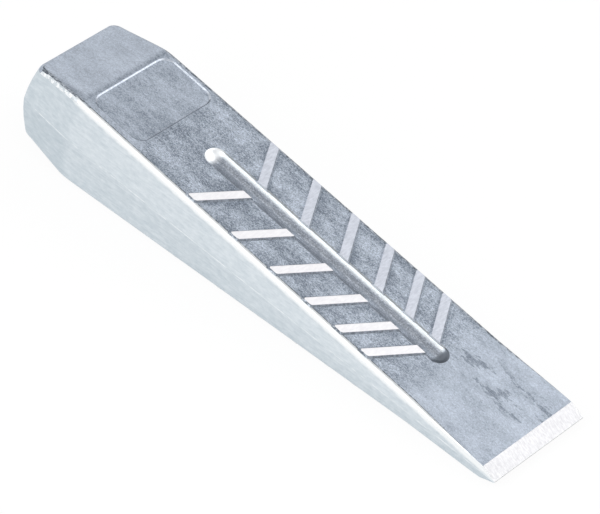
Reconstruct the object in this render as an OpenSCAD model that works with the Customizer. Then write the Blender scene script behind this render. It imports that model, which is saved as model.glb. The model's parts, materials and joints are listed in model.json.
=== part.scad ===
// Felling wedge, one solid aluminium drop forging.
// It lies on the milled rib tops of its lower face, with +X from the striking face to the tip.

/* [Overall] */
// Length from the crown of the striking face to the tip
length = 260; // [215:1:330]
// Width at the parting line
width = 56; // [44:0.5:80]
// Thickness at the shoulder, where the wedge is thickest
thickness = 42.7; // [32:0.1:56]

/* [Head] */
// How far each chamfer of the head falls from the shoulder to the striking face
head_drop = 3.35; // [1:0.05:6]
// Rise of the striking face above its edges
crown = 2; // [0.8:0.1:5]
// Length of the head, from the edges of the striking face to the shoulder
head_len = 26.4; // [15:0.1:45]
// How far each side of the head draws in at the striking face
head_taper = 2.8; // [1:0.1:6]
// Radius of the upright corners beside the striking face
corner_r = 5; // [2:0.1:8]
// Radius along the upper and lower edges of the striking face
face_edge_r = 1.4; // [0.5:0.1:4]
// Radius over the shoulders
shoulder_r = 25; // [8:1:60]
// Radius in plan where the head meets the body
waist_r = 150; // [60:5:300]

/* [Tip] */
// Thickness where the ground bevels start
tip_thickness = 6.3; // [4:0.1:12]
// Length of the ground bevels
bevel_len = 7.1; // [4:0.1:15]
// Thickness left at the cutting edge
tip_flat = 0.6; // [0.2:0.1:2]

/* [Forging] */
// Draft of the sides, from the parting line to either face
draft = 3.4; // [1:0.1:7]
// Radius of the long edges
edge_r = 2.1; // [1:0.1:3]
// Length before the ground bevel over which the rounding of the long edges runs out
edge_runout = 38; // [15:1:80]

/* [Groove] */
// Width of the half-round groove at the face
groove_w = 9.2; // [8:0.1:14]
// Depth of the groove
groove_depth = 2.6; // [1:0.1:3.8]
// Radius along the rim of the groove
groove_rim_r = 1.2; // [0.5:0.1:3]
// Gap along the face from the shoulder to the groove
groove_head_gap = 49; // [42:0.5:60]
// Gap along the face from the groove to the ground bevel
groove_tip_gap = 44.3; // [20:0.1:60]

/* [Ribs] */
// Chevron ribs on each face
rib_count = 6; // [3:1:8]
// Width of a rib across its milled top
rib_w = 4; // [2:0.1:6]
// Height of the rib tops above the face
rib_h = 0.7; // [0.3:0.05:1.2]
// Run of each forged flank over the height of the rib
rib_flank = 0.8; // [0.2:0.05:1.5]
// Run of each rib's outer end over the height of the rib
rib_end = 0.5; // [0.1:0.05:1]
// Sweep of the ribs, from square across the face back to the head
rib_sweep = 30; // [10:1:45]
// Spacing of the last two ribs as a share of the first two
pitch_ratio = 0.6; // [0.4:0.05:1]
// Gap from the head end of the groove to the point of the first chevron
rib_head_gap = 28.4; // [20:0.1:40]
// Gap from the point of the last chevron to the tip end of the groove
rib_tip_gap = 7.1; // [5:0.1:25]

/* [Panel] */
// Length of the sunk panel along the upper face
panel_len = 28.9; // [12:0.1:34]
// Gap from each side of the panel to the rounding of the long edges
panel_edge_gap = 2.6; // [1:0.1:10]
// Radius of the panel's corners
panel_r = 5.5; // [2:0.1:9]
// Depth of the panel
panel_depth = 0.5; // [0.2:0.05:1]
// Gap along the face from the shoulder to the panel
panel_gap = 2; // [1:0.1:8]

/* [Hidden] */
$fn = 96;

half_t = thickness / 2;
half_face = half_t - head_drop;
half_w = width / 2;
// The striking face's edges are at x = 0 and the parting plane is z = 0 while the wedge is built
tip_x = length - crown;
bevel_x = tip_x - bevel_len;
face_slope = atan((thickness - tip_thickness) / 2 / (bevel_x - head_len));
head_slope = atan(head_drop / head_len);
face_len = (bevel_x - head_len) / cos(face_slope);
crown_r = (pow(half_face, 2) + pow(crown, 2)) / (2 * crown);
head_yaw = atan(head_taper / head_len);
// Where the upper face would meet the right side at the shoulder, and where its flat part stops
edge_y = half_w - half_t * tan(draft);
flat_y = edge_y - edge_r;

// A rounding circle crosses the faces that it joins at this angle, or at a sixth of a flat corner's turn
proud = 6;
// Room that cutters and blanks have past the forging
past = 12;
// Depth to which a rib is rooted in the face
rib_root = 1.2;
// Step left where an edge's run-out takes over from its full rounding
runout_step = 0.04;

groove_r = (pow(groove_w / 2, 2) + pow(groove_depth, 2)) / (2 * groove_depth);
groove_axis = groove_r - groove_depth;
rim_drop = groove_rim_r * cos(proud);
rim_y = sqrt(pow(groove_r + rim_drop, 2) - pow(groove_axis + rim_drop, 2));
groove_from = groove_head_gap + groove_w / 2;
groove_to = face_len - groove_tip_gap - groove_w / 2;

first_chevron = groove_head_gap + rib_head_gap;
last_chevron = face_len - groove_tip_gap - rib_tip_gap;
first_pitch = (last_chevron - first_chevron) / ((rib_count - 1) * (1 + pitch_ratio) / 2);
pitch_loss = rib_count > 2 ? first_pitch * (1 - pitch_ratio) / (rib_count - 2) : 0;
function chevron_at(i) = first_chevron + i * first_pitch - pitch_loss * i * (i - 1) / 2;

// What lies outside a circle of radius r in a convex corner at the origin, with the corner's bisector
// along +Y and its two faces' outward normals turn degrees apart
module corner_cut(r, turn, reach = past) {
    inset = r * cos(min(proud, turn / 6));
    centre = [0, -inset / cos(turn / 2)];
    left = [-sin(turn / 2), cos(turn / 2)];
    right = [sin(turn / 2), cos(turn / 2)];
    left_foot = centre + inset * left;
    right_foot = centre + inset * right;
    difference() {
        polygon([left_foot, left_foot + reach * left, [0, 2 * reach],
                 right_foot + reach * right, right_foot]);
        translate(centre) circle(r);
    }
}

// Corner cut whose first face looks along the angle from_normal and whose second along to_normal
module corner_cut_between(r, from_normal, to_normal, reach = past) {
    rotate((from_normal + to_normal) / 2 - 90)
        corner_cut(r, from_normal - to_normal, reach);
}

// Side view of chamfered head, tapering faces and ground tip
module side_outline() {
    upper = [[-past, half_face - past * tan(head_slope)], [head_len, half_t],
             [bevel_x, tip_thickness / 2], [tip_x, tip_flat / 2]];
    lower = [for (i = [3:-1:0]) [upper[i][0], -upper[i][1]]];
    polygon(concat(upper, lower));
}

// Side view with the crowned striking face, its soft edges and the soft shoulders
module side_profile() {
    difference() {
        side_outline();
        difference() {
            translate([-2 * past, -thickness]) square([2.4 * past, 2 * thickness]);
            translate([crown_r - crown, 0]) circle(crown_r);
        }
        for (side = [0, 1]) mirror([0, side]) {
            translate([0, half_face])
                corner_cut_between(face_edge_r, 180 - asin(half_face / crown_r), 90 + head_slope, 2);
            translate([head_len, half_t])
                corner_cut_between(shoulder_r, 90 + head_slope, 90 - face_slope, 2);
        }
    }
}

// Plan view from beyond the left side to the right side, at the parting line
module right_plan() {
    back = -crown - corner_r / 4;
    back_y = half_w - (head_len - back) * tan(head_yaw);
    difference() {
        polygon([[back, -width], [tip_x + past, -width], [tip_x + past, half_w],
                 [head_len, half_w], [back, back_y]]);
        translate([back, back_y]) corner_cut_between(corner_r, 180, 90 + head_yaw);
        translate([head_len, half_w]) corner_cut_between(waist_r, 90 + head_yaw, 90, 2);
    }
}

// Everything inside the upper half of the right side, which leans in by the draft
module right_side() {
    translate([0, half_w, 0]) rotate([draft, 0, 0]) translate([0, -half_w, -thickness])
        linear_extrude(2 * thickness) right_plan();
}

// Rounding cutter along the edge where a face that falls by pitch meets a side whose plane leans in by
// run per unit of x and by rise per unit of z
module edge_cut(r, pitch, run, rise, before, after) {
    along = run * cos(pitch) - rise * sin(pitch);
    up = run * sin(pitch) + rise * cos(pitch);
    lean = atan(up / sqrt(1 + along * along));
    rotate([0, pitch, 0]) rotate([0, 0, -atan(along)]) translate([-before, 0, 0])
        rotate([90, 0, 90]) linear_extrude(before + after) corner_cut_between(r, 90, lean);
}

// The head's edge, the body's edge and its run-out, which climbs out of the corner towards the tip
module right_edge_cuts() {
    runout = edge_r * (1 - cos(45));
    runout_x = bevel_x - edge_runout;
    runout_z = tip_thickness / 2 + edge_runout * tan(face_slope);
    translate([head_len, edge_y, half_t]) {
        edge_cut(edge_r, -head_slope, -head_taper / head_len, tan(draft), head_len + past, past);
        edge_cut(edge_r, face_slope, 0, tan(draft), past, (runout_x - head_len) / cos(face_slope));
    }
    translate([runout_x, half_w - runout_z * tan(draft) + runout_step, runout_z + runout_step])
        edge_cut(edge_r, face_slope - atan(runout / edge_runout), -runout / edge_runout, tan(draft), 1,
                 edge_runout + past);
}

// Puts its children at the upper right, upper left, lower right and lower left
module four_ways() {
    for (flip = [0, 1], side = [0, 1])
        mirror([0, 0, flip]) mirror([0, side, 0]) children();
}

// Puts a child drawn on the face at the origin, with +X down the face, on to the upper face
module on_face() {
    translate([head_len, 0, half_t]) rotate([0, face_slope, 0]) children();
}

module blank() {
    difference() {
        intersection() {
            translate([0, width, 0]) rotate([90, 0, 0]) linear_extrude(2 * width) side_profile();
            right_side();
            mirror([0, 1, 0]) right_side();
            mirror([0, 0, 1]) right_side();
            mirror([0, 1, 0]) mirror([0, 0, 1]) right_side();
        }
        four_ways() right_edge_cuts();
    }
}

// Half-round groove with ball ends
module groove() {
    translate([0, 0, groove_axis]) {
        translate([groove_from, 0, 0]) rotate([0, 90, 0])
            cylinder(r = groove_r, h = groove_to - groove_from);
        for (x = [groove_from, groove_to]) translate([x, 0, 0]) sphere(groove_r);
    }
}

// What lies outside the rim's rounding, between the face and the wall of the groove
module rim_section() {
    toward_rim = [rim_y, -rim_drop - groove_axis] / (groove_r + rim_drop);
    wall = [0, groove_axis] + groove_r * toward_rim;
    inside = [0, groove_axis] + groove_r / 2 * toward_rim;
    difference() {
        polygon([[rim_y, 0], [rim_y, groove_axis], [inside[0], groove_axis], inside, wall]);
        translate([rim_y, -rim_drop]) circle(groove_rim_r);
    }
}

// Rounding cutter along both sides of the groove and round its ends
module groove_rim() {
    for (side = [0, 1]) mirror([0, side, 0])
        translate([groove_from, 0, 0]) rotate([90, 0, 90])
            linear_extrude(groove_to - groove_from) rim_section();
    for (x = [groove_from, groove_to]) translate([x, 0, 0]) rotate_extrude() rim_section();
}

// The right half of each chevron, run out to a drafted end on the first quarter of the rounded edge
module right_ribs() {
    slope = rib_flank / rib_h;
    end_slope = rib_end / rib_h;
    root_w = rib_w / 2 + slope * (rib_h + rib_root);
    edge_yaw = atan((half_t - tip_thickness / 2) * tan(draft) / face_len);
    intersection() {
        for (i = [0:rib_count - 1])
            translate([chevron_at(i), 0, 0]) rotate([0, 0, rib_sweep])
                translate([0, width, 0]) rotate([90, 0, 0]) linear_extrude(width)
                    polygon([[-root_w, -rib_root], [-rib_w / 2, rib_h],
                             [rib_w / 2, rib_h], [root_w, -rib_root]]);
        translate([0, flat_y + edge_r / 4, 0]) rotate([0, 0, edge_yaw]) translate([-past, 0, 0])
            rotate([90, 0, 90]) linear_extrude(length)
                polygon([[-width, -past], [-width, past],
                         [-end_slope * past, past], [end_slope * past, -past]]);
    }
}

// Rounded rectangle that sinks the panel into the upper face
module panel() {
    corner = [panel_len / 2, flat_y - panel_edge_gap];
    translate([panel_gap + panel_len / 2, 0, -panel_depth])
        linear_extrude(past) difference() {
            square(2 * corner, center = true);
            for (sx = [0, 1], sy = [0, 1]) mirror([sx, 0]) mirror([0, sy])
                translate(corner) corner_cut_between(panel_r, 90, 0, 2);
        }
}

module forging() {
    difference() {
        union() {
            difference() {
                blank();
                for (flip = [0, 1]) mirror([0, 0, flip]) on_face() groove_rim();
                on_face() panel();
            }
            four_ways() on_face() right_ribs();
        }
        for (flip = [0, 1]) mirror([0, 0, flip]) on_face() groove();
    }
}

// The forging laid on its lower rib tops, with the origin under the middle of its length
module wedge_body() {
    back_x = (crown_r - crown) * cos(face_slope) - crown_r;
    front_x = tip_x * cos(face_slope) + tip_flat / 2 * sin(face_slope);
    shoulder_z = head_len * sin(face_slope) + half_t * cos(face_slope);
    color("lightsteelblue")
        translate([-(back_x + front_x) / 2, 0, shoulder_z + rib_h])
            rotate([0, face_slope, 0]) forging();
}

wedge_body();
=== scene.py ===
# %% [markdown]
# # A forged aluminium felling wedge
# A felling wedge is driven into a saw cut to tip a tree. This one is a single solid drop forging. The
# lesson loads the exact part as a frame, models the wedge again with the softer edges of a real
# forging, gives each zone its own finish, and sets up a small studio that matches the photograph.

# %% Load the frame
import json
from math import asin, atan, atan2, cos, degrees, pi, radians, sin, sqrt, tan

import bmesh
import bpy
from mathutils import Matrix, Vector

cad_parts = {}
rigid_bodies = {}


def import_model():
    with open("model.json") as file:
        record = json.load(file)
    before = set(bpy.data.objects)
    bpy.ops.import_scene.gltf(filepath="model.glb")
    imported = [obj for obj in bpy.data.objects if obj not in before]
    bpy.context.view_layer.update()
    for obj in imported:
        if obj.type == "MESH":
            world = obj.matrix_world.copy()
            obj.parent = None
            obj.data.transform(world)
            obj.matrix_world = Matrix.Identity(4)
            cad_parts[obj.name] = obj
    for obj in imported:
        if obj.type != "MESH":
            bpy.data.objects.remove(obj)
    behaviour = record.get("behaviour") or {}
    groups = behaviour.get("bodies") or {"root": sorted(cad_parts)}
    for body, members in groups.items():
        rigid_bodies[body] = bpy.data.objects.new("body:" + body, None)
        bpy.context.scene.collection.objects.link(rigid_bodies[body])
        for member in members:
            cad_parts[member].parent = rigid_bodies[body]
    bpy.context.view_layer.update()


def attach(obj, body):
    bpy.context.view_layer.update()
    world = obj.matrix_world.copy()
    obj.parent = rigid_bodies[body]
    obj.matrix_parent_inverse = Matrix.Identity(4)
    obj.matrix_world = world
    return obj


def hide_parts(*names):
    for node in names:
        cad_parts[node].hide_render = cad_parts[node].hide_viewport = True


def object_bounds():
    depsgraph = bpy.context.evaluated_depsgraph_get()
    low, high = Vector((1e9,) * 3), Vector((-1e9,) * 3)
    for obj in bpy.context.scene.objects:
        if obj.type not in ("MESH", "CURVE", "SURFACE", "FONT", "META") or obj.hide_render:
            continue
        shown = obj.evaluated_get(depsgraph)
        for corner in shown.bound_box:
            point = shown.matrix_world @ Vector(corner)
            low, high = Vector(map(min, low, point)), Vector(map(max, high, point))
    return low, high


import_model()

# %% [markdown]
# ## Sizes
# The sizes are the part's own, in millimetres. While the wedge is modelled, x = 0 is at the edges of the
# striking face, +X runs to the tip, and z = 0 is the parting plane where the two forging dies met. The
# wedge is symmetric about that plane, which makes it much easier to shape than the lying wedge. The last
# modelling step lays it down.

# %% Sizes of the wedge
MM = 0.001
LENGTH, WIDTH, THICKNESS = 260 * MM, 56 * MM, 42.7 * MM
CROWN, HEAD_LEN, HEAD_DROP, HEAD_TAPER = 2 * MM, 26.4 * MM, 3.35 * MM, 2.8 * MM
CORNER_R, FACE_EDGE_R, SHOULDER_R, WAIST_R = 4 * MM, 1.4 * MM, 25 * MM, 150 * MM
TIP_THICKNESS, BEVEL_LEN, TIP_FLAT = 6.3 * MM, 7.1 * MM, 0.6 * MM
DRAFT, HEAD_LEAN, EDGE_R, EDGE_RUNOUT = radians(3.4), 0.8 * MM, 2.1 * MM, 38 * MM

HALF_W, HALF_T = WIDTH / 2, THICKNESS / 2
HALF_FACE = HALF_T - HEAD_DROP
TIP_X = LENGTH - CROWN
BEVEL_X = TIP_X - BEVEL_LEN
FACE_SLOPE = atan((HALF_T - TIP_THICKNESS / 2) / (BEVEL_X - HEAD_LEN))
HEAD_SLOPE = atan(HEAD_DROP / HEAD_LEN)
FACE_LEN = (BEVEL_X - HEAD_LEN) / cos(FACE_SLOPE)
CROWN_R = (HALF_FACE ** 2 + CROWN ** 2) / (2 * CROWN)
print(f"each face slopes {degrees(FACE_SLOPE):.2f} degrees and is {FACE_LEN / MM:.1f} mm long")

# %% [markdown]
# ## Helpers for working as by hand
# An operator acts on what is selected. These few helpers clear the selection, go in and out of edit
# mode, and select by place, the way you would click or box-select.

# %% Selection helpers
TOUCH, MERGE = 0.001 * MM, 0.01 * MM


def clear_selection():
    if bpy.context.mode != "OBJECT":
        bpy.ops.object.mode_set(mode="OBJECT")
    bpy.ops.object.select_all(action="DESELECT")


def make_active(obj):
    clear_selection()
    obj.select_set(True)
    bpy.context.view_layer.objects.active = obj


def edit(obj):
    make_active(obj)
    bpy.ops.object.mode_set(mode="EDIT")


def done():
    bpy.ops.object.mode_set(mode="OBJECT")


def pick(kind, test):
    """In edit mode, selects each vertex, edge or face that the test says yes to, and nothing else."""
    bpy.ops.mesh.select_mode(type=kind)
    bpy.ops.mesh.select_all(action="DESELECT")
    mesh = bmesh.from_edit_mesh(bpy.context.edit_object.data)
    chosen = [e for e in {"VERT": mesh.verts, "EDGE": mesh.edges, "FACE": mesh.faces}[kind] if test(e)]
    for element in chosen:
        element.select_set(True)
    mesh.select_flush_mode()
    bmesh.update_edit_mesh(bpy.context.edit_object.data)
    return len(chosen)


# %% Scaling and naming helpers
def scale_about(centre, x=1.0, y=1.0, z=1.0):
    bpy.ops.transform.resize(value=(x, y, z), center_override=centre)


def added(name):
    """The primitive that was just added, named and with its size applied to its mesh."""
    obj = bpy.context.object
    obj.name = name
    bpy.ops.object.transform_apply(location=True, rotation=True, scale=True)
    return obj


# %% [markdown]
# ## The blank
# A drop forging has flat tapering faces, sides that lean in from the parting line so that it leaves the
# dies, and no sharp long edge. It could be lofted from curves, but a box is enough: bisect cuts it into
# stations along its length, and each station's corners are scaled to the section's real size. Close
# stations make the soft shoulder and the slight waist where the head draws in.


# %% Section sizes along the length
def rounded_peak(x, at, turn, radius):
    """How far a rounding of that radius lies below a corner that turns by that angle."""
    reach = radius * tan(turn / 2)
    return max(0.0, reach - abs(x - at)) ** 2 / (2 * radius)


def half_height(x):
    if x < HEAD_LEN:
        height = HALF_FACE + HEAD_DROP * x / HEAD_LEN
    elif x < BEVEL_X:
        height = HALF_T - (x - HEAD_LEN) * tan(FACE_SLOPE)
    else:
        height = TIP_THICKNESS / 2 + (TIP_FLAT - TIP_THICKNESS) / 2 * (x - BEVEL_X) / BEVEL_LEN
    return height - rounded_peak(x, HEAD_LEN, FACE_SLOPE + HEAD_SLOPE, SHOULDER_R)


def half_width(x):
    """At the parting line."""
    width = HALF_W - HEAD_TAPER * max(0.0, 1 - x / HEAD_LEN)
    return width - rounded_peak(x, HEAD_LEN, atan(HEAD_TAPER / HEAD_LEN), WAIST_R)


# The extra lean of the head's sides stops growing at HEAD_BACK, so they are flat where the crown is cut.
BACK_X, HEAD_BACK = -2 * CROWN, 6 * MM
SHOULDER_STEPS = (-8, -5.3, -2.6, -1.3, 0, 1.3, 2.6, 5.3, 8)
RUNOUT_SHARES = (1, 0.8, 0.6, 0.4, 0.24, 0.1)


def edge_y(x):
    """Where the face and the side would meet. The sides of the head lean in more towards the back."""
    lean = HEAD_LEAN * min(1.0, max(0.0, (HEAD_LEN - x) / (HEAD_LEN - HEAD_BACK)))
    return half_width(x) - half_height(x) * (tan(DRAFT) + lean / HALF_FACE)


runout_steps = [EDGE_RUNOUT * share for share in RUNOUT_SHARES]
stations = [BACK_X, HEAD_BACK] + [HEAD_LEN + step * MM for step in SHOULDER_STEPS]
stations += [BEVEL_X - step for step in runout_steps] + [BEVEL_X, TIP_X]
print(len(stations), "stations")

# %% A box, cut into stations and scaled to each section
clear_selection()
bpy.ops.mesh.primitive_cube_add(size=1, location=((BACK_X + TIP_X) / 2, 0, 0),
                                scale=(TIP_X - BACK_X, WIDTH, THICKNESS))
wedge = added("forged_wedge")
edit(wedge)
for x in stations[1:-1]:
    bpy.ops.mesh.select_all(action="SELECT")
    bpy.ops.mesh.bisect(plane_co=(x, 0, 0), plane_no=(1, 0, 0), threshold=TOUCH)
bpy.ops.mesh.select_all(action="SELECT")
bpy.ops.mesh.bisect(plane_co=(0, 0, 0), plane_no=(0, 0, 1), threshold=TOUCH)
for x in stations:
    pick("VERT", lambda v: abs(v.co.x - x) < TOUCH and abs(v.co.z) < TOUCH)
    scale_about((x, 0, 0), y=half_width(x) / HALF_W)
    pick("VERT", lambda v: abs(v.co.x - x) < TOUCH and abs(v.co.z) > HALF_T - TOUCH)
    scale_about((x, 0, 0), y=edge_y(x) / HALF_W, z=half_height(x) / HALF_T)
done()
print(len(wedge.data.vertices), "vertices,", len(wedge.data.polygons), "faces in the blank")

# %% [markdown]
# ## The crowned striking face
# The hammer lands on the back, which bulges a little so that the blow stays near the middle. A block with
# a large cylinder taken out of it cuts that crown. The two upright corners beside it are then bevelled
# to a wide radius, and drawn in towards the parting plane, where the trimming leaves them sharper.


# %% Blocks and cuts
def block(name, centre, size):
    clear_selection()
    bpy.ops.mesh.primitive_cube_add(size=1, location=centre, scale=size)
    return added(name)


def apply_modifiers(obj):
    make_active(obj)
    for modifier in list(obj.modifiers):
        bpy.ops.object.modifier_apply(modifier=modifier.name)


def cut_with(obj, cutter, operation="DIFFERENCE"):
    """Applies a boolean of cutter to obj, and removes the cutter."""
    modifier = obj.modifiers.new("cut", "BOOLEAN")
    modifier.operation, modifier.solver, modifier.object = operation, "EXACT", cutter
    apply_modifiers(obj)
    make_active(cutter)
    bpy.ops.object.delete()


# %% Cut the crown
CROWN_FACETS, CUTTER_LEN, CUTTER_FRONT = 100, 20 * MM, 4 * MM
crown_cutter = block("crown_cutter", (CUTTER_FRONT - CUTTER_LEN / 2, 0, 0),
                     (CUTTER_LEN, 2 * WIDTH, 2 * THICKNESS))
clear_selection()
bpy.ops.mesh.primitive_cylinder_add(vertices=CROWN_FACETS, radius=CROWN_R, depth=4 * WIDTH,
                                    location=(CROWN_R - CROWN, 0, 0), rotation=(pi / 2, 0, 0))
cut_with(crown_cutter, added("crown_rod"))
cut_with(wedge, crown_cutter)
print(f"crown cut to a radius of {CROWN_R / MM:.0f} mm,", len(wedge.data.polygons), "faces")

# %% Round the upright corners
LAND_CORNER_R, CORNER_SEGMENTS, SAME_HEIGHT = 1 * MM, 8, 1.25 * MM


def is_upright(e):
    """An edge of the striking face that runs up one of its two sides."""
    a, b = (v.co for v in e.verts)
    return max(a.x, b.x) < MM and abs(a.z - b.z) > TOUCH and abs(a.y) > HALF_W / 2


edit(wedge)
bpy.ops.mesh.select_all(action="SELECT")
bpy.ops.mesh.remove_doubles(threshold=MERGE)
count = pick("EDGE", is_upright)
corners = [v.co.copy() for v in bmesh.from_edit_mesh(wedge.data).verts if v.select]
bpy.ops.mesh.bevel(offset=CORNER_R, segments=CORNER_SEGMENTS, affect="EDGES", clamp_overlap=False)
for corner in corners:
    pick("VERT", lambda v: (v.co - corner).length < 1.2 * CORNER_R
         and abs(v.co.z - corner.z) < SAME_HEIGHT)
    shrink = LAND_CORNER_R + (CORNER_R - LAND_CORNER_R) * (corner.z / HALF_FACE) ** 2
    scale_about(corner, x=shrink / CORNER_R, y=shrink / CORNER_R)
done()
print(count, "edges of the upright corners rounded, with", len(corners), "points drawn in")

# %% [markdown]
# ## Rounded edges
# The dies have radii along all the edges of both faces: wide ones along the sides and narrower ones at
# the back. Bevel weights let one modifier make them all. The weight falls in small steps round each
# back corner, so that the wide rounding runs smoothly into the narrow one. Near the tip the real rounding
# runs out to a sharp corner, because the sides there are dressed after forging, so the rounded corner
# of each station is shrunk towards the corner that it came from.


# %% Weigh the edges and bevel them
SHARP_TURN, BACK_TURN, EDGE_SEGMENTS = radians(30), radians(70), 8


def is_outline(e):
    """A sharp edge of one of the two faces, or of its chamfer."""
    on_face = all(v.co.x < BEVEL_X + TOUCH and abs(abs(v.co.z) - half_height(v.co.x)) < 10 * TOUCH
                  for v in e.verts)
    return on_face and e.calc_face_angle(0) > SHARP_TURN


def way(e):
    """The way an edge runs, in degrees: 0 along the wedge, 90 across it."""
    step = e.verts[1].co - e.verts[0].co
    return degrees(atan2(abs(step.y), abs(step.x)))


edge_offset = EDGE_R * tan(radians(45) - DRAFT / 2)
back_weight = FACE_EDGE_R * tan(BACK_TURN / 2) / edge_offset
edit(wedge)
for tens in range(10):
    if pick("EDGE", lambda e: is_outline(e) and 10 * tens <= way(e) < 10 * tens + 10):
        turned = tens / 9
        share = turned * turned * (3 - 2 * turned)
        bpy.ops.transform.edge_bevelweight(value=1 + (back_weight - 1) * share)
done()
rounding = wedge.modifiers.new("rounded edges", "BEVEL")
rounding.width, rounding.segments, rounding.limit_method = edge_offset, EDGE_SEGMENTS, "WEIGHT"
rounding.use_clamp_overlap = False
apply_modifiers(wedge)
print(len(wedge.data.polygons), "faces with the rounded edges")

# %% Let the long roundings run out towards the tip
SHARPEST, STATION_REACH = 0.02, 0.3 * MM
edit(wedge)
for step in runout_steps[1:] + [0]:
    x = BEVEL_X - step
    shrink = max(SHARPEST, (step - runout_steps[-1]) / (EDGE_RUNOUT - runout_steps[-1]))
    for side in (1, -1):
        for face in (1, -1):
            corner = Vector((x, side * edge_y(x), face * half_height(x)))
            pick("VERT", lambda v: v.co.x > x - STATION_REACH and (v.co - corner).length < 1.3 * EDGE_R)
            scale_about(corner, x=shrink, y=shrink, z=shrink)
done()
print(f"the roundings run out over the last {EDGE_RUNOUT / MM:.0f} mm before the ground bevel")

# %% [markdown]
# ## The parting line
# The two dies met half way up the sides. The thin flash that squeezes out there is trimmed off, which
# leaves a narrow flat land all round. A one-segment bevel of the edge at z = 0 makes it.

# %% Flatten a narrow land along the parting line
PARTING_LAND, FLAT_TURN = 0.28 * MM, radians(0.02)
edit(wedge)
count = pick("EDGE", lambda e: all(abs(v.co.z) < TOUCH and v.co.x > CORNER_R for v in e.verts)
             and abs(e.verts[0].co.x - e.verts[1].co.x) > TOUCH)
bpy.ops.mesh.bevel(offset=PARTING_LAND, segments=1, affect="EDGES", clamp_overlap=False)
bpy.ops.mesh.select_all(action="SELECT")
bpy.ops.mesh.dissolve_limited(angle_limit=FLAT_TURN)
done()
print(count, "parting edges,", len(wedge.data.polygons), "faces after joining the flat ones")

# %% [markdown]
# ## The long groove
# A half-round groove with round ends runs down the middle of each face. Its half profile is drawn once:
# the channel, the soft rim, and a lid above the face. Spin turns it round the end, extrude carries it to
# the middle, and symmetrize adds the other half. The finished cutter is laid on the sloping face.

# %% Half profile of the groove
GROOVE_W, GROOVE_DEPTH, GROOVE_RIM_R, RIM_LEAN = 9.2 * MM, 2.6 * MM, 1.2 * MM, radians(6)
GROOVE_HEAD_GAP, GROOVE_TIP_GAP, LID = 49 * MM, 44.3 * MM, 4 * MM
CHANNEL_STEPS, RIM_STEPS, END_STEPS = 10, 5, 28


def arc_points(y, z, radius, start, end, count):
    steps = [start + (end - start) * i / count for i in range(count + 1)]
    return [(y + radius * cos(a), z + radius * sin(a)) for a in steps]


groove_r = ((GROOVE_W / 2) ** 2 + GROOVE_DEPTH ** 2) / (2 * GROOVE_DEPTH)
groove_axis = groove_r - GROOVE_DEPTH
rim_drop = GROOVE_RIM_R * cos(RIM_LEAN)
rim_y = sqrt((groove_r + rim_drop) ** 2 - (groove_axis + rim_drop) ** 2)
wall_angle = asin((groove_axis + rim_drop) / (groove_r + rim_drop))
groove_from = GROOVE_HEAD_GAP + GROOVE_W / 2
groove_to = FACE_LEN - GROOVE_TIP_GAP - GROOVE_W / 2
half_span = (groove_to - groove_from) / 2
channel = arc_points(0, groove_axis, groove_r, -pi / 2, -wall_angle, CHANNEL_STEPS)
rim = arc_points(rim_y, -rim_drop, GROOVE_RIM_R, pi - wall_angle, pi / 2, RIM_STEPS)
profile = [(-half_span, y, z) for y, z in channel + rim[1:] + [(rim_y, LID), (0, LID)]]
print(f"the groove is {2 * rim_y / MM:.1f} mm wide with its rim, from {len(profile)} points")

# %% Drawing and mirroring
DOUBLES = 0.002 * MM


def draw(name, points):
    """A chain of edges, drawn by extruding one vertex from point to point."""
    clear_selection()
    bpy.ops.mesh.primitive_plane_add(size=MM, location=points[0])
    obj = added(name)
    edit(obj)
    bpy.ops.mesh.select_mode(type="VERT")
    bpy.ops.mesh.select_all(action="SELECT")
    bpy.ops.mesh.merge(type="CENTER")
    for a, b in zip(points, points[1:]):
        step = Vector(b) - Vector(a)
        bpy.ops.mesh.extrude_region_move(TRANSFORM_OT_translate={"value": step})
    return obj


def outward():
    """In edit mode, joins doubled vertices and turns every face outwards."""
    bpy.ops.mesh.select_all(action="SELECT")
    bpy.ops.mesh.remove_doubles(threshold=DOUBLES)
    bpy.ops.mesh.normals_make_consistent(inside=False)


def mirror_over(obj, y=False, z=False):
    modifier = obj.modifiers.new("mirror", "MIRROR")
    modifier.use_axis = (False, y, z)
    modifier.use_mirror_merge = False
    apply_modifiers(obj)
    edit(obj)
    outward()
    done()


# %% Groove cutter, from the half profile
groove_cutter = draw("groove_cutter", profile)
bpy.ops.mesh.select_all(action="SELECT")
bpy.ops.mesh.spin(steps=END_STEPS, angle=pi, center=(-half_span, 0, 0), axis=(0, 0, -1))
outward()
pick("EDGE", lambda e: e.is_boundary and all(abs(v.co.x + half_span) < TOUCH for v in e.verts))
bpy.ops.mesh.extrude_region_move(TRANSFORM_OT_translate={"value": (half_span, 0, 0)})
bpy.ops.mesh.select_all(action="SELECT")
bpy.ops.mesh.symmetrize(direction="NEGATIVE_X", threshold=TOUCH)
outward()
done()
print(len(groove_cutter.data.polygons), "faces in the groove cutter")


# %% Lay the cutter on both faces and cut
def lay_on_face(obj):
    """Moves a piece drawn on the face at the origin, with +X down the face, on to the upper face."""
    make_active(obj)
    obj.rotation_euler = (0, FACE_SLOPE, 0)
    obj.location = (HEAD_LEN, 0, HALF_T)
    bpy.ops.object.transform_apply(location=True, rotation=True, scale=True)


def slide(obj, x):
    edit(obj)
    bpy.ops.mesh.select_all(action="SELECT")
    bpy.ops.transform.translate(value=(x, 0, 0))
    done()


slide(groove_cutter, (groove_from + groove_to) / 2)
lay_on_face(groove_cutter)
mirror_over(groove_cutter, z=True)
cut_with(wedge, groove_cutter)
print(f"groove {(groove_to - groove_from + GROOVE_W) / MM:.1f} mm long,", len(wedge.data.polygons), "faces")

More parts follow.
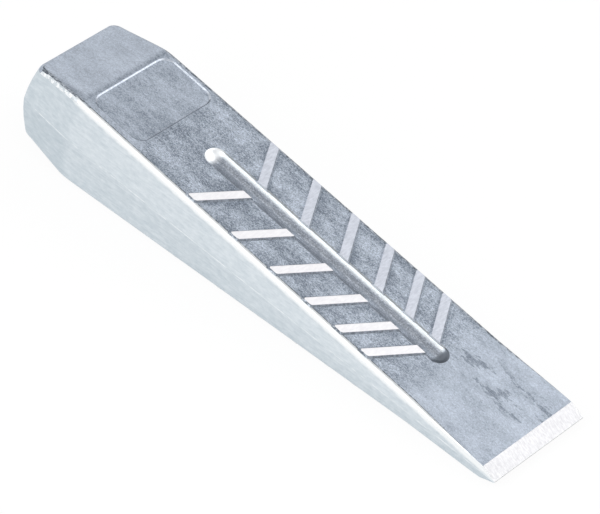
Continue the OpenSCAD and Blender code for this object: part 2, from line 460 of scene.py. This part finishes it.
# %% [markdown]
# ## The sunk panel
# Behind the head the upper face has a shallow panel with round corners, sunk a little off the middle by
# its die. A box is bevelled at its upright edges, and its floor is scaled down a little so that the walls
# lean as a die's walls do. The same box could be inset into the face, but a boolean leaves the face
# around it flat.

# %% Sink the panel into the upper face
PANEL_LEN, PANEL_EDGE_GAP, PANEL_R = 28.9 * MM, 2.6 * MM, 5.5 * MM
PANEL_DEPTH, PANEL_GAP, PANEL_LEAN, PANEL_SHIFT = 0.5 * MM, 2 * MM, 1.0 * MM, 0.8 * MM
PANEL_BLOCK, PANEL_SEGMENTS = 4 * MM, 10

flat_y = HALF_W - HALF_T * tan(DRAFT) - EDGE_R
panel_half = flat_y - PANEL_EDGE_GAP + PANEL_SHIFT
panel_at = Vector((PANEL_GAP + PANEL_LEN / 2, PANEL_SHIFT, 0))
panel_cutter = block("panel_cutter", panel_at + Vector((0, 0, PANEL_BLOCK / 2 - PANEL_DEPTH)),
                     (PANEL_LEN, 2 * panel_half, PANEL_BLOCK))
edit(panel_cutter)
pick("EDGE", lambda e: abs(e.verts[0].co.z - e.verts[1].co.z) > MM)
bpy.ops.mesh.bevel(offset=PANEL_R, segments=PANEL_SEGMENTS, affect="EDGES")
pick("VERT", lambda v: v.co.z < 0)
scale_about(panel_at, x=1 - PANEL_LEAN / PANEL_LEN, y=1 - PANEL_LEAN / (2 * panel_half))
pick("VERT", lambda v: v.co.z > 0)
lean = PANEL_LEAN * (PANEL_BLOCK / PANEL_DEPTH)
scale_about(panel_at, x=1 + lean / PANEL_LEN, y=1 + lean / (2 * panel_half))
done()
lay_on_face(panel_cutter)
cut_with(wedge, panel_cutter)
print(f"panel {PANEL_LEN / MM:.1f} by {2 * panel_half / MM:.1f} mm, {PANEL_DEPTH / MM:.1f} deep")

# %% [markdown]
# ## Chevron ribs
# Six pairs of low ribs on each face keep the wedge from springing out of the cut. They lie closer
# together towards the tip. One bar with forged flanks is modelled and turned to its sweep, copies are
# put along the face, and bisect trims their ends to the groove and to the rounded edge. Mirrors give the
# other side and the lower face.

# %% Places of the ribs
RIB_COUNT, PITCH_RATIO, RIB_HEAD_GAP, RIB_TIP_GAP = 6, 0.6, 28.4 * MM, 7.1 * MM
first_chevron = GROOVE_HEAD_GAP + RIB_HEAD_GAP
last_chevron = FACE_LEN - GROOVE_TIP_GAP - RIB_TIP_GAP
first_pitch = (last_chevron - first_chevron) / ((RIB_COUNT - 1) * (1 + PITCH_RATIO) / 2)
pitch_loss = first_pitch * (1 - PITCH_RATIO) / (RIB_COUNT - 2)
places = [first_chevron + i * first_pitch - pitch_loss * i * (i - 1) / 2 for i in range(RIB_COUNT)]
print("rib spacing in mm:", [round((b - a) / MM, 1) for a, b in zip(places, places[1:])])

# %% One rib and its copies
RIB_W, RIB_H, RIB_FLANK, RIB_ROOT, RIB_SWEEP = 4 * MM, 0.7 * MM, 0.8 * MM, 0.6 * MM, radians(30)
root_w = RIB_W + 2 * RIB_FLANK / RIB_H * (RIB_H + RIB_ROOT)
ribs = block("ribs", (0, WIDTH / 2, (RIB_H - RIB_ROOT) / 2), (root_w, WIDTH, RIB_H + RIB_ROOT))
edit(ribs)
pick("VERT", lambda v: v.co.z > 0)
scale_about((0, 0, 0), x=RIB_W / root_w)
done()
ribs.rotation_euler = (0, 0, RIB_SWEEP)
ribs.location = (places[0], 0, 0)
bpy.ops.object.transform_apply(location=True, rotation=True, scale=True)
for place in places[1:]:
    make_active(ribs)
    bpy.ops.object.duplicate()
    bpy.context.object.location.x = place - places[0]
for obj in bpy.data.objects:
    obj.select_set(obj.name.startswith("ribs"))
bpy.context.view_layer.objects.active = ribs
bpy.ops.object.join()
bpy.ops.object.transform_apply(location=True, rotation=True, scale=True)
print(len(places), "ribs with", len(ribs.data.polygons), "faces")

# %% Trim the ends to the groove and to the rounded edge
RIB_OVER_RIM, RIB_FOOT_CLEAR, RIB_OVER_EDGE, RIB_END = 0.15 * MM, 0.05 * MM, 0.4 * EDGE_R, 0.4 * MM
RIB_CORNER_R, RIB_CORNER_SEGMENTS = 0.8 * MM, 4
inner_top = GROOVE_W / 2 - RIB_OVER_RIM
inner_foot_y, inner_foot_z = channel[-1][0] + RIB_FOOT_CLEAR, channel[-1][1]
edge_yaw = atan((HALF_T - TIP_THICKNESS / 2) * tan(DRAFT) / FACE_LEN)
along = Vector((cos(edge_yaw), sin(edge_yaw), 0))
up = Vector((sin(edge_yaw), -cos(edge_yaw), 0)) * (RIB_END / RIB_H) + Vector((0, 0, 1))
inner_point = Vector((0, inner_top, RIB_H))
inner_normal = Vector((0, inner_foot_z - RIB_H, inner_top - inner_foot_y)).normalized()
outer_point = Vector((0, flat_y + RIB_OVER_EDGE, 0))
outer_normal = up.cross(along).normalized()
edit(ribs)
for point, normal in ((inner_point, inner_normal), (outer_point, outer_normal)):
    bpy.ops.mesh.select_all(action="SELECT")
    bpy.ops.mesh.bisect(plane_co=point, plane_no=normal, use_fill=True, clear_outer=True, threshold=TOUCH)
pick("EDGE", lambda e: abs(e.verts[0].co.z - e.verts[1].co.z) > RIB_H
     and all(abs((v.co - outer_point).dot(outer_normal)) < 10 * TOUCH for v in e.verts))
bpy.ops.mesh.bevel(offset=RIB_CORNER_R, segments=RIB_CORNER_SEGMENTS, affect="EDGES")
outward()
done()
print(len(ribs.data.polygons), "faces in the ribs of one side")

# %% Ribs on both sides of both faces
lay_on_face(ribs)
mirror_over(ribs, y=True, z=True)
cut_with(wedge, ribs, "UNION")
print(len(wedge.data.polygons), "faces with the ribs")

# %% [markdown]
# ## Zones of finish
# One lump of metal, several finishes and some painted light: the forged skin of the faces, the trimmed
# sides with their parting land, the rounded edges, pale as polish and as a painted highlight, with a line
# of painted shade and scale beside them, the panel's walls, painted paler or darker by the way they face,
# the smoother groove, the milled rib tops, the flanks behind them painted dark as shade, and the ground
# bevels of the tip.
# Each zone gets a material slot. The faces are chosen by their place and by the way they look, which is
# easy while the wedge is square to the axes. A later zone takes over faces that an earlier one chose.
# Grinding leaves a crisp border, so the edges there are marked sharp, or smooth shading would blur it.


# %% Sides, parting land and rounded edges
# A normal has a length of 1, so each of its parts says how far a face looks along that axis.
NEAR_TOP, END_TILT, KEPT_TILT, BESIDE = 0.9 * RIB_H, 0.42, 0.62, 1 * MM


def above_face(p):
    """Height of a point above the plane of the nearer face."""
    return (abs(p.z) - HALF_T) * cos(FACE_SLOPE) + (p.x - HEAD_LEN) * sin(FACE_SLOPE)


def below_edge(f):
    """How far a place lies below the edge of the nearer face."""
    centre = f.calc_center_median()
    return half_height(centre.x) - abs(centre.z)


def is_side(f):
    """A side, the striking face, or one of the rounded upright corners between them."""
    return abs(f.normal.z) < 0.24 or (f.normal.x < -0.1 and below_edge(f) > 0.9 * EDGE_R)


def is_land(f):
    level = abs(f.normal.y) > 0.9 and abs(f.normal.z) < 0.01
    return level and abs(f.calc_center_median().z) < PARTING_LAND


def is_panel_wall(f):
    centre = f.calc_center_median()
    along_it = 0 < centre.x - HEAD_LEN < PANEL_GAP + PANEL_LEN + 2 * BESIDE
    across_it = abs(centre.y - PANEL_SHIFT) < panel_half + BESIDE
    steep = f.normal.z > 0.3 and max(abs(f.normal.y), abs(f.normal.x - sin(FACE_SLOPE))) > 0.2
    return along_it and across_it and steep and above_face(centre) < -2 * MERGE


def is_edge(f):
    """A rounded long edge. On the right of the head its upper part keeps the skin."""
    centre = f.calc_center_median()
    beside = abs(centre.y) > 0.8 * flat_y and above_face(centre) < MERGE and below_edge(f) < EDGE_R
    kept = centre.y > 0 and centre.x < HEAD_LEN and abs(f.normal.y) < KEPT_TILT
    turned = 0.05 < abs(f.normal.y) < 0.985 and abs(f.normal.z) > 0.12 and f.normal.x > -0.3
    return beside and turned and not kept and not is_panel_wall(f)


# %% Painted edge shade and scale, groove, ribs and tip
# The strip of painted shade and scale reaches further round the left edge on the head than past it, and
# changes over this length.
DARK_STRIP_HEAD, DARK_STRIP_LEFT, DARK_STRIP_FADE = 0.56, 0.2, 16 * MM


def is_edge_shade_or_scale(f):
    """The part of a rounded edge next to the face, wider on the head and on the right, and the rib ends,
    all painted as shade with some scale.
    """
    centre = f.calc_center_median()
    past_head = min(1.0, max(0.0, (centre.x - HEAD_LEN) / DARK_STRIP_FADE + 0.5))
    on_left = DARK_STRIP_HEAD + (DARK_STRIP_LEFT - DARK_STRIP_HEAD) * past_head
    reach = KEPT_TILT if centre.y > 0 else on_left
    rib_end = abs(f.normal.y) > END_TILT and 0 < above_face(centre) < NEAR_TOP and abs(centre.y) > rim_y
    return rib_end or (is_edge(f) and abs(f.normal.y) < reach)


def is_groove(f):
    """The groove, with the rib ends that carry its walls on upwards."""
    centre = f.calc_center_median()
    inside = abs(centre.y) < rim_y and centre.x > HEAD_LEN + PANEL_GAP + PANEL_LEN + BESIDE
    wall = above_face(centre) < NEAR_TOP and abs(f.normal.y) > END_TILT
    return inside and abs(f.normal.z) > 0.3 and (wall or above_face(centre) < -2 * TOUCH)


def is_dark(f):
    """The flanks of the ribs towards the tip, and the panel's walls on the left and towards the tip, all
    painted as shade.
    """
    height = above_face(f.calc_center_median_weighted())
    flank = 0.1 * RIB_H < height < NEAR_TOP and f.normal.x > 0.2
    return flank or (is_panel_wall(f) and f.normal.y > f.normal.x)


def is_rib_top(f):
    return abs(f.normal.z) > 0.99 and above_face(f.calc_center_median()) > NEAR_TOP


def is_ground(f):
    return f.normal.x > 0.25 and f.calc_center_median().x > BEVEL_X


# %% Material slots by place
ZONES = {"forged skin": None, "trimmed side": is_side, "parting land": is_land, "rounded edge": is_edge,
         "panel wall": is_panel_wall, "edge shade and scale": is_edge_shade_or_scale, "groove": is_groove, "dark flank": is_dark,
         "milled top": is_rib_top, "ground bevel": is_ground}
for name, test in ZONES.items():
    wedge.data.materials.append(bpy.data.materials.new(name))
    if test:
        edit(wedge)
        count = pick("FACE", test)
        wedge.active_material_index = len(wedge.data.materials) - 1
        bpy.ops.object.material_slot_assign()
        done()
        print(f"{count:4d} faces in the zone {name}")

# %% A crisp border where the grinding starts
edit(wedge)
count = pick("EDGE", lambda e: all(abs(v.co.x - BEVEL_X) < TOUCH for v in e.verts))
bpy.ops.mesh.mark_sharp()
done()
print(count, "edges marked sharp")

# %% [markdown]
# ## Laying the wedge down
# The wedge rests on the rib tops of its lower face. Turning it by the slope of that face about Y and
# lifting it puts it exactly where the frame has it.

# %% Turn and lift it into the frame
back_end = (CROWN_R - CROWN) * cos(FACE_SLOPE) - CROWN_R
front_end = TIP_X * cos(FACE_SLOPE) + TIP_FLAT / 2 * sin(FACE_SLOPE)
LIFT = HEAD_LEN * sin(FACE_SLOPE) + HALF_T * cos(FACE_SLOPE) + RIB_H
MIDDLE = (back_end + front_end) / 2
make_active(wedge)
wedge.rotation_euler = (0, FACE_SLOPE, 0)
wedge.location = (-MIDDLE, 0, LIFT)
bpy.ops.object.transform_apply(location=True, rotation=True, scale=True)
edit(wedge)
outward()
done()

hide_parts("wedge_body")
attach(wedge, "root")
low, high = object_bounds()
print("wedge from", [round(v / MM, 2) for v in low], "to", [round(v / MM, 2) for v in high])

# %% [markdown]
# ## Soft edges and clean shading
# No edge on a forging is perfectly sharp. A narrow bevel on the sharpest ones catches a line of light.
# Smooth shading by angle then hides the facets of the roundings, and weighted normals keep the large
# flat faces flat right up to them.

# %% Bevel the sharp edges and set the normals
SOFT_EDGE, SOFT_FROM, SMOOTH_BELOW, LARGEST_WINS = 0.15 * MM, radians(38), radians(28), 100
bevel = wedge.modifiers.new("soft edges", "BEVEL")
bevel.width, bevel.segments, bevel.limit_method, bevel.angle_limit = SOFT_EDGE, 2, "ANGLE", SOFT_FROM
bevel.miter_outer = "MITER_ARC"
apply_modifiers(wedge)
bpy.ops.object.shade_smooth_by_angle(angle=SMOOTH_BELOW)
weighted = wedge.modifiers.new("flat faces", "WEIGHTED_NORMAL")
weighted.weight, weighted.keep_sharp = LARGEST_WINS, True
apply_modifiers(wedge)
print(len(wedge.data.polygons), "faces in the finished wedge")

# %% [markdown]
# ## Materials as arithmetic
# A procedural material is a small calculation at each point of the surface. This class wraps a node's
# output so that the calculation can be written with ordinary signs. Coordinates are in millimetres, so a
# noise scale of 1 has features about a millimetre across.


# %% Node arithmetic
class Field:
    """A node's output socket. Arithmetic on it adds Math nodes."""

    def __init__(self, tree, socket):
        self.tree, self.socket = tree, socket

    def node(self, kind, output=0, settings=(), **inputs):
        """Adds any node, with its settings and inputs by name, and returns one of its outputs."""
        made = self.tree.nodes.new("ShaderNode" + kind)
        for name, value in dict(settings).items():
            setattr(made, name, value)
        for name, value in inputs.items():
            by_number = name[0] == "i" and name[1:].isdigit()
            self.feed(made.inputs[int(name[1:]) if by_number else name], value)
        return Field(self.tree, made.outputs[output])

    def feed(self, socket, value):
        if isinstance(value, Field):
            self.tree.links.new(value.socket, socket)
        else:
            socket.default_value = value

    def math(self, operation, first, second=0.0):
        return self.node("Math", settings={"operation": operation}, i0=first, i1=second)

    def __add__(self, other):
        return self.math("ADD", self, other)

    def __sub__(self, other):
        return self.math("SUBTRACT", self, other)

    def __rsub__(self, other):
        return self.math("SUBTRACT", other, self)

    def __mul__(self, other):
        return self.math("MULTIPLY", self, other)

    def __truediv__(self, other):
        return self.math("DIVIDE", self, other)

    def __abs__(self):
        return self.math("ABSOLUTE", self)

    __radd__, __rmul__ = __add__, __mul__

    def between(self, low, high):
        """0 at low, 1 at high, with a smooth step."""
        return self.node("MapRange", settings={"interpolation_type": "SMOOTHSTEP"}, Value=self,
                         **{"From Min": low, "From Max": high})

    def stretched(self, x, y, z):
        """A vector, scaled along each axis."""
        return self.node("VectorMath", settings={"operation": "MULTIPLY"}, i0=self, i1=(x, y, z))

    def noise(self, scale, detail=3.0, roughness=0.55):
        """Noise at this vector, from 0 to 1."""
        return self.node("TexNoise", Vector=self, Scale=scale, Detail=detail, Roughness=roughness)

    def mix(self, first, second):
        """The first colour where this is 0 and the second where it is 1."""
        return self.node("Mix", output=2, settings={"data_type": "RGBA"}, i0=self, i6=first, i7=second)


# %% Starting and wiring a material
def start(name, **constants):
    """Gives a zone's material its nodes, sets what is the same all over, and returns shader and place."""
    material = bpy.data.materials[name]
    material.use_nodes = True
    shader = material.node_tree.nodes["Principled BSDF"]
    shader.label = name
    for socket, value in constants.items():
        shader.inputs[socket.replace("_", " ")].default_value = value
    place = Field(material.node_tree, None).node("TexCoord", output="Object")
    return shader, place.stretched(1000, 1000, 1000)


def wire(shader, **fields):
    """Links what changes over the surface to the shader's sockets."""
    for socket, field in fields.items():
        field.feed(shader.inputs[socket.replace("_", " ")], field)
    print(len(shader.id_data.nodes), "nodes in the material", shader.label)


def bump(height, distance):
    """A bumpy normal, with the distance in millimetres."""
    return height.node("Bump", Height=height, Distance=distance * MM, Strength=1.0)


def colour(r, g, b):
    return (r, g, b, 1.0)


# %% [markdown]
# ## Places as numbers
# The finishes change from place to place, so the materials need to know where they are. A dot product with
# a direction gives the distance along it. These helpers measure from the shoulder, the middle, the parting
# plane and the upper face, on the wedge as it lies now.


# %% Distances on the wedge, in millimetres
def dot(p, direction):
    return p.node("VectorMath", output="Value", settings={"operation": "DOT_PRODUCT"}, i0=p, i1=direction)


def rightward(p):
    """How far a place lies to the right of the middle."""
    return dot(p, (0, 1, 0))


def down_face(p):
    """How far a place lies down its face from the shoulder, the same for both faces."""
    offset = (MIDDLE * cos(FACE_SLOPE) + LIFT * sin(FACE_SLOPE) - HEAD_LEN) / MM
    return (dot(p, (cos(FACE_SLOPE), 0, -sin(FACE_SLOPE))) + offset) / cos(FACE_SLOPE)


def above_parting(p):
    """How far a place lies above the parting plane."""
    offset = (MIDDLE * sin(FACE_SLOPE) - LIFT * cos(FACE_SLOPE)) / MM
    return dot(p, (sin(FACE_SLOPE), 0, cos(FACE_SLOPE))) + offset


def above_upper(p):
    """How far a place lies above the plane of the upper face, which now slopes by twice the angle."""
    slope = 2 * FACE_SLOPE
    offset = (MIDDLE * sin(slope) - LIFT * cos(slope)
              - HALF_T * cos(FACE_SLOPE) - HEAD_LEN * sin(FACE_SLOPE)) / MM
    return dot(p, (sin(slope), 0, cos(slope))) + offset


# %% [markdown]
# ## Forged skin
# The faces keep the skin that the hot dies left: a blue grey with a fine crackled grain. Painted shade
# darkens it beside the long edges and at the feet of the ribs, and a painted shadow lies behind each rib.
# The head's chamfer is smoother and paler, and so is the metal near the tip, where dark smears are drawn
# out along the length. All of it is one value from dark to pale, added up from noises and from the place on
# the face, and only then turned into a colour.

# %% Noises of the forged skin
shader, p = start("forged skin", Metallic=0.85)
speckle = p.stretched(0.7, 1.1, 1.1).noise(1.8, 3, 0.8).between(0.25, 0.75) - 0.5
grain = p.stretched(0.6, 1.1, 1.1).noise(0.4, 7, 0.82).between(0.25, 0.75) - 0.5
cloud = p.stretched(0.5, 1, 1).noise(0.14, 5, 0.62).between(0.3, 0.7) - 0.5
scratch = p.stretched(0.06, 1, 1).noise(1.3, 3, 0.7).between(0.3, 0.7) - 0.5
smear = p.stretched(0.25, 0.9, 1).noise(0.26, 8, 0.68)
mottle = speckle * 0.85 + grain * 0.3 + cloud * 0.38 + scratch * 0.14
print(len(p.tree.nodes), "nodes make the noises of the skin")

# %% Darker places of the forged skin, much of it painted shade
SHOULDER, PANEL_END, TIP_FADE, SMEARS_AT = (-2, 2), (30, 34), (165, 190), 9
down, sideways = down_face(p), rightward(p)
leftwards = 0 - sideways
near_tip = down.between(*TIP_FADE)
chevron = down + abs(sideways) * tan(RIB_SWEEP)
# A painted shadow on the tip side of each rib, and painted shade at its foot on the right.
behind_ribs = rib_feet = 0.0
for place in places:
    past = (chevron - place / MM) * cos(RIB_SWEEP)
    behind_ribs = behind_ribs + past.between(1.5, 2.6) * (1 - past.between(4.3, 5.2))
    rib_feet = rib_feet + past.between(2.5, 2.8) * (1 - past.between(3.1, 3.5))
# Painted shade beside the long edges; the shoulder and the left half are simply darker, and the smears near
# the tip are drawn out along the length.
by_edges = sideways.between(20, 25) * (1 - near_tip) * 0.07 + leftwards.between(22, 25) * 0.05
by_ribs = behind_ribs * 0.05 + rib_feet * sideways.between(2, 4) * 0.12
by_shoulder = (1 - down.between(1, 2)) * 0.2
on_left = (1 - sideways.between(-8, 4)) * (1 - near_tip) * 0.05
smears = smear.between(0.53, 0.58) * (1 - abs(sideways - SMEARS_AT).between(6, 12)) * near_tip * 0.3
dark_places = by_edges + by_ribs + by_shoulder + on_left + smears
print(len(p.tree.nodes), "nodes with the darker places")

# %% From dark and pale to colour
in_panel = 1 - down.between(*PANEL_END)
panel_rim = in_panel * leftwards.between(21.5, 22.3) * 0.15
face_light = (0.39 + mottle * (1 - 0.5 * near_tip) * (1 - 0.35 * in_panel)
              + 0.12 * near_tip + 0.05 * in_panel - dark_places + panel_rim)
# The head is paler, with painted shade beside its left edge.
head_light = 0.66 + mottle * 0.5 - leftwards.between(20.5, 23.2) * 0.32
light = head_light + (face_light - head_light) * down.between(*SHOULDER)
wire(shader, Base_Color=light.mix(colour(0.15, 0.18, 0.225), colour(0.74, 0.81, 0.92)),
     Roughness=0.46 - grain * 0.12, Normal=bump(speckle * 0.4 + grain * 0.5 + smear * 0.5, 0.08))

# %% [markdown]
# ## Groove, edges and flanks
# The punch of the die rubs the groove smoother than the faces, with streaks along its length. Across it
# the colour is painted lighter and darker as shade, its right wall gets a lit copy of the colour, its end
# towards the head gets a painted highlight, and the other end a painted shade. The rounded edges of the
# upper face are pale, partly polished and partly a painted highlight, on the head only in patches, with a
# ragged dark line of painted shade and scale where they meet the face. Painted shade also lies on the tip
# side of every rib and in two walls of the panel.

# %% The groove
RIGHT_WALL, HEAD_END, TIP_END = (2.9, 3.5), (51.5, 55), (176, 178)
shader, p = start("groove", Metallic=0.9)
speckle = p.stretched(0.8, 1.1, 1.1).noise(1.7, 4, 0.8)
streak = p.stretched(0.12, 1, 1).noise(1.1, 4, 0.7)
down, sideways = down_face(p), rightward(p)
# Painted shade across the groove: darker just left of the middle, a little lighter right of it, darker
# again up the right wall.
across = (sideways.between(-1.8, -0.6) * -0.07 + sideways.between(0, 0.7) * 0.09
          - sideways.between(2, 2.6) * 0.05)
light = speckle * 0.9 + streak * 0.3 - 0.05 + across
grey = light.between(0.44, 0.76).mix(colour(0.24, 0.27, 0.32), colour(0.68, 0.73, 0.81))
lit = light.between(0.4, 0.8).mix(colour(0.36, 0.385, 0.405), colour(0.54, 0.57, 0.59))
wall = sideways.between(*RIGHT_WALL).mix(grey, lit)
# A painted highlight at the end towards the head.
with_painted_highlight = down.between(*HEAD_END).mix(colour(0.88, 0.9, 0.92), wall)
# A painted shade at the end towards the tip.
with_painted_end_shade = (down + speckle).between(*TIP_END).mix(with_painted_highlight, colour(0.16, 0.18, 0.21))
wire(shader, Base_Color=with_painted_end_shade, Roughness=0.42 - streak * 0.12, Normal=bump(light, 0.06))

# %% Rounded edges
shader, p = start("rounded edge", Metallic=0.9)
grain = p.stretched(0.4, 1, 1).noise(0.8, 4, 0.6)
# The upper rounded edges are painted pale: a painted highlight, partly polished metal too. On the head this
# highlight breaks into patches, and the rounded edges below the parting plane are painted darker as shade.
bright = grain.between(0.3, 0.7).mix(colour(0.8, 0.83, 0.85), colour(0.92, 0.94, 0.95))
patches = p.noise(0.6, 4, 0.65).between(0.4, 0.6).mix(colour(0.56, 0.61, 0.65), colour(0.9, 0.92, 0.94))
upper = down_face(p).between(-6, 3).mix(patches, bright)
edges = above_parting(p).between(-1, 1).mix(colour(0.55, 0.61, 0.655), upper)
wire(shader, Base_Color=edges, Roughness=0.4 - grain * 0.12, Normal=bump(grain, 0.06))

# %% Painted shade and scale beside the rounded edges, a little darker on the left
MIDLINE = (-2, 2)
shader, p = start("edge shade and scale", Metallic=0.8)
ragged = p.stretched(0.5, 1, 1).noise(0.9, 5, 0.75) - (1 - rightward(p).between(*MIDLINE)) * 0.025
# The colour is a dark painted shade with some scale, in a ragged line.
scale = ragged.between(0.4, 0.6).mix(colour(0.1, 0.12, 0.145), colour(0.5, 0.54, 0.6))
wire(shader, Base_Color=scale, Roughness=0.62 - ragged * 0.15)

# %% Walls of the panel
shader, p = start("panel wall", Metallic=0.9, Roughness=0.42)
# These are the walls towards the head and on the right, painted paler than the skin as a painted highlight;
# the other two walls get painted shade.
grain = p.noise(0.8, 4, 0.6)
wire(shader, Base_Color=grain.between(0.3, 0.7).mix(colour(0.4, 0.44, 0.5), colour(0.58, 0.62, 0.68)))

# %% Painted shade on the tip flanks of the ribs, lighter on the right, and on two walls of the panel
shader, p = start("dark flank", Metallic=0.7)
grain = p.noise(0.9, 4, 0.65)
# Both colours are painted shade; the second, a lighter shade, is for the rib flanks on the right.
dark = grain.between(0.3, 0.7).mix(colour(0.12, 0.14, 0.165), colour(0.29, 0.32, 0.37))
lighter_shade = grain.between(0.3, 0.7).mix(colour(0.17, 0.19, 0.22), colour(0.36, 0.4, 0.46))
on_right = rightward(p).between(2, 4) * down_face(p).between(40, 45)
wire(shader, Base_Color=on_right.mix(dark, lighter_shade), Roughness=0.5 + grain * 0.1)

# %% [markdown]
# ## Trimmed and machined metal
# The sides and the striking face are smoother and paler than the faces, with faint scratches along the
# length. They are a little darker on the head, painted shade darkens them below the parting line and near
# the floor, and a painted highlight runs along them just below the upper face. The trimmed land on the
# parting line is brighter still. The rib tops are milled flat, so they are the palest metal of all, the
# right ones a little darker, and the bevels of the tip carry the fine lines of the grinding belt.

# %% Sides and striking face, with a painted highlight just below the upper face
shader, p = start("trimmed side", Metallic=0.85)
grain = p.stretched(0.5, 1, 1).noise(0.6, 4, 0.6)
scratch = p.stretched(0.03, 1, 1).noise(1.3, 3, 0.7)
height = dot(p, (0, 0, 1))
on_head = 1 - down_face(p).between(*SHOULDER)
# Painted shade makes the sides darker below the parting line and near the floor; they are also a little
# darker on the head.
light = (grain * 0.65 + scratch * 0.35 - 0.04 + above_parting(p).between(-3, 3) * 0.1 - on_head * 0.13
         - (1 - height.between(1.5, 7)) * 0.09)
pale = light.between(0, 1).mix(colour(0.47, 0.54, 0.59), colour(0.78, 0.825, 0.86))
# A painted highlight along the sides just below the upper face.
with_painted_highlight = (above_upper(p) + grain).between(-2.9, -1.4).mix(pale, colour(0.88, 0.9, 0.91))
wire(shader, Base_Color=with_painted_highlight, Roughness=0.5 - scratch * 0.15, Normal=bump(light, 0.05))

# %% Parting land
shader, p = start("parting land", Metallic=0.85)
grain = p.stretched(0.3, 1, 1).noise(0.7, 3, 0.6)
line = grain.between(0.35, 0.65).mix(colour(0.6, 0.66, 0.7), colour(0.8, 0.84, 0.87))
wire(shader, Base_Color=line, Roughness=0.5 - grain * 0.2)

# %% Milled rib tops, the right ones a little darker
shader, p = start("milled top", Metallic=0.6)
lines = p.stretched(1, 0.3, 1).noise(1.1, 4, 0.7)
tops = lines.between(0.25, 0.75).mix(colour(0.84, 0.83, 0.86), colour(0.95, 0.94, 0.96))
darker_right = lines.between(0.25, 0.75).mix(colour(0.52, 0.55, 0.62), colour(0.7, 0.73, 0.81))
wire(shader, Base_Color=rightward(p).between(*MIDLINE).mix(tops, darker_right), Roughness=0.45 - lines * 0.1)

# %% Ground bevels of the tip
shader, p = start("ground bevel", Metallic=0.6)
lines = p.stretched(0.05, 1.6, 1).noise(1.2, 3, 0.7)
ground = lines.between(0.3, 0.7).mix(colour(0.42, 0.42, 0.435), colour(0.55, 0.55, 0.56))
wire(shader, Base_Color=ground, Roughness=0.3 - lines * 0.1)

# %% [markdown]
# ## Camera
# The camera stands where the photograph was taken from, with a long lens, so that the long edges hardly
# converge. Its place and its three axes were fitted to points measured on the photograph.

# %% Camera
LENS, SENSOR, NEAREST, FARTHEST = 262.2, 36, 0.1, 30
CAMERA_AT = Vector((733.891, -1097.883, 1159.163)) * MM
RIGHT, DOWN = Vector((0.74392, 0.65138, 0.14928)), Vector((0.52062, -0.42487, -0.74057))
AHEAD = Vector((-0.41897, 0.62864, -0.65519))
scene = bpy.context.scene
scene.view_settings.view_transform = "Standard"
bpy.ops.object.camera_add()
camera = bpy.context.object
camera.data.lens, camera.data.sensor_width, camera.data.sensor_fit = LENS, SENSOR, "HORIZONTAL"
camera.data.clip_start, camera.data.clip_end = NEAREST, FARTHEST
turn = Matrix((RIGHT, -DOWN, -AHEAD)).transposed().to_4x4()
camera.matrix_world = Matrix.Translation(CAMERA_AT) @ turn
scene.camera = camera
print(f"camera {CAMERA_AT.length:.2f} m from the middle of the floor, with a lens of {LENS:.0f} mm")

# %% [markdown]
# ## Floor
# A sheet of white paper. Most of what is seen of it, directly or in the metal, is a plain white glow, so
# that it reads as an endless white sweep. The rest is ordinary paper, which keeps a trace of the shadow.

# %% A sheet of paper
FLOOR_SIZE, GLOW = 12, 0.93
bpy.ops.mesh.primitive_plane_add(size=FLOOR_SIZE, location=(0, 0, 0))
floor = bpy.context.object
floor.name = "floor"
paper = bpy.data.materials.new("white paper")
floor.data.materials.append(paper)
paper.use_nodes = True
tree = paper.node_tree
shader = tree.nodes["Principled BSDF"]
shader.inputs["Base Color"].default_value = colour(0.9, 0.9, 0.9)
shader.inputs["Roughness"].default_value = 0.9
print("floor of", FLOOR_SIZE, "by", FLOOR_SIZE, "metres")

# %% Its glow
direct = Field(tree, None).node("LightPath", output="Is Camera Ray")
rays = direct.socket.node.outputs
seen = direct + Field(tree, rays["Is Glossy Ray"]) + Field(tree, rays["Is Transmission Ray"])
share = seen.math("MINIMUM", seen, 1.0) * GLOW
glow = seen.node("Emission", Color=colour(1, 1, 1), Strength=1.0)
mixed = seen.node("MixShader", i0=share, i1=Field(tree, shader.outputs[0]), i2=glow)
seen.feed(tree.nodes["Material Output"].inputs["Surface"], mixed)
print(len(tree.nodes), "nodes in the material", paper.name)

# %% [markdown]
# ## Light
# A soft white room with two large softboxes. Metal shows its surroundings, so the room also has a few
# dark openings. They draw the dark lines along the edges, the groove and the ribs.

# %% Room with dark openings
ROOM = 0.95
# For each opening: the way to it, the angles where it starts to fade and has faded, and how dark it is.
OPENINGS = {"ceiling": ((-0.15, 0.08, 0.98), 6, 22, 0.7), "back": ((-0.5, 0.85, 0.05), 15, 36, 0.8),
            "right": ((0.3, 0.95, 0.05), 8, 24, 0.8), "tip": ((0.8, 0.04, 0.6), 6, 18, 0.85),
            "head": ((-0.85, 0.52, 0.0), 10, 26, 0.8)}
world = bpy.data.worlds.new("studio")
scene.world = world
world.use_nodes = True
room = world.node_tree.nodes["Background"]
toward = Field(world.node_tree, None).node("TexCoord", output="Generated")
level = ROOM
for direction, inner, outer, darkness in OPENINGS.values():
    facing = dot(toward, Vector(direction).normalized())
    level = level * (1 - darkness * facing.between(cos(radians(outer)), cos(radians(inner))))
level.feed(room.inputs["Strength"], level)
room.inputs["Color"].default_value = colour(1, 1, 1)
print("room with dark openings:", ", ".join(OPENINGS))


# %% Softboxes
def softbox(name, direction, distance, size, energy):
    """A square area light that looks at the middle of the wedge."""
    at = Vector(direction).normalized() * distance
    bpy.ops.object.light_add(type="AREA", location=at)
    lamp = bpy.context.object
    lamp.name, lamp.data.size, lamp.data.energy = name, size, energy
    lamp.rotation_euler = at.to_track_quat("Z", "Y").to_euler()
    lamp.visible_camera = False
    print(f"{name}: {size} m wide, {energy} W")


softbox("left softbox", (-0.23, -0.82, 0.52), 1.4, 0.8, 7)
softbox("tip softbox", (0.58, 0.63, 0.52), 1.4, 1.4, 9)
